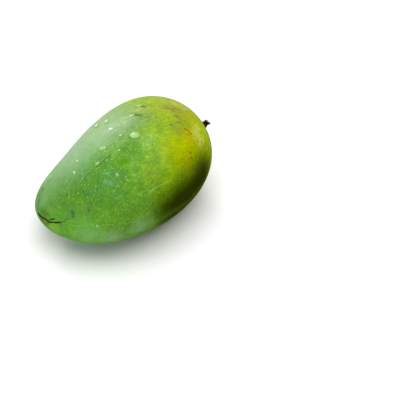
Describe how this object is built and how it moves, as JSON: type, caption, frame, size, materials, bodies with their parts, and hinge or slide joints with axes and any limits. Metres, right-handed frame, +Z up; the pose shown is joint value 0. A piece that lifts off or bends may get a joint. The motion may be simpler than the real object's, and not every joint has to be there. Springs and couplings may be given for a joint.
{
  "type": "mango",
  "caption": "Whole green mango lying on its cheek: a lopsided egg shape, fuller at the stalk end, with a creased tip and a short broken stub of stalk.",
  "frame": {"origin": "middle of the small flat spot that the fruit rests on, in the plane of the surface under it", "axes": "+X along the fruit from its tip to its stalk, +Y towards its hollow side, +Z up"},
  "size_m": [0.131, 0.0905, 0.0727],
  "materials": {
    "skin": "waxy green fruit skin with fine pale pores, a yellow flush on the stalk's shoulder and a soft bluish bloom towards the tip",
    "stalk_wood": "dark weathered bark with a paler broken end"
  },
  "bodies": {
    "root": {"fruit": "skin", "stalk": "stalk_wood"}
  },
  "joints": []
}
